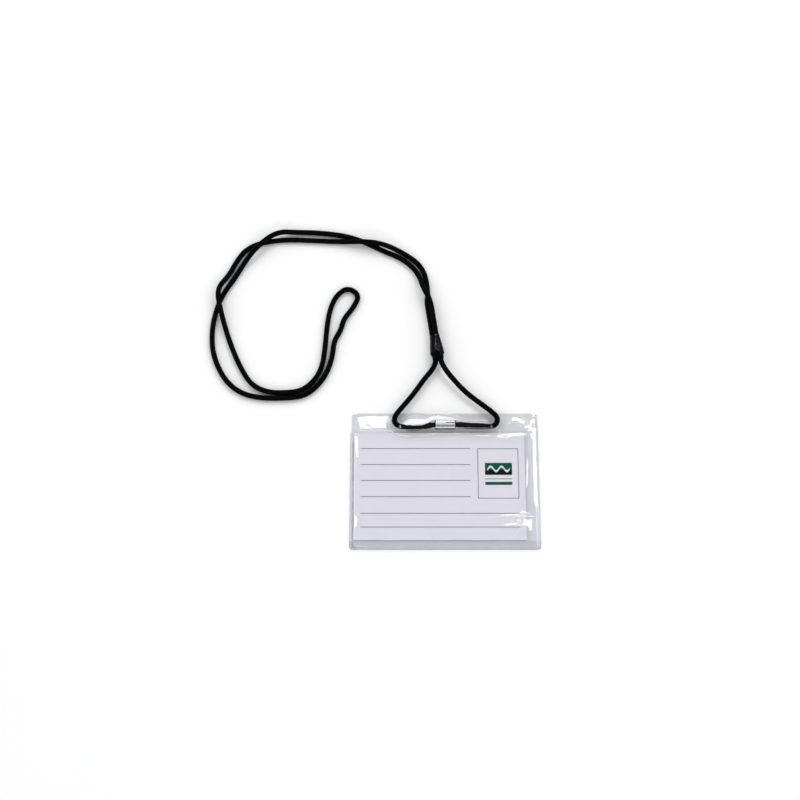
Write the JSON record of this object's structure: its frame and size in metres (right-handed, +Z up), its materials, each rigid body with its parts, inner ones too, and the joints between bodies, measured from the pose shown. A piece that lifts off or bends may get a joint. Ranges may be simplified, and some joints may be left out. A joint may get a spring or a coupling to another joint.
{
  "type": "lanyard badge holder",
  "caption": "Clear soft-film name badge pocket holding a ruled paper card, on a thin round neck cord with a slider bead and a metal crimp.",
  "frame": {"origin": "on the surface the holder lies on, under the middle of its films", "axes": "+Z up out of the holder's front, +X to the right across its long side, +Y towards its top edge and the cord"},
  "size_m": [0.1762, 0.1861, 0.0086],
  "materials": {
    "clear_film": "clear flexible PVC, glossy",
    "card": "matt white card with grey print",
    "nickel": "bright nickel plate",
    "sleeve_plastic": "black heat-shrunk tube, satin",
    "bead_plastic": "black moulded, glossy",
    "cord": "black braided polyester"
  },
  "bodies": {
    "holder": {"back_film": "clear_film", "front_film": "clear_film", "crimp": "nickel", "cord_sleeve_left": "sleeve_plastic", "cord_sleeve_right": "sleeve_plastic", "cord_yoke_left": "cord", "cord_neck_left": "cord", "cord_end_loop": "cord", "cord_neck_right": "cord", "cord_yoke_right": "cord"},
    "insert": {"insert_card": "card"},
    "slider": {"slider_bead": "bead_plastic"}
  },
  "joints": [
    {"name": "card_slide", "type": "slide", "parent": "holder", "child": "insert", "axis": [0, 1, 0], "range_m": [-0.003, 0.041]},
    {"name": "slider_slide", "type": "slide", "parent": "holder", "child": "slider", "axis": [-0.1444, 0.9895, 0], "range_m": [0, 0.0165]}
  ]
}
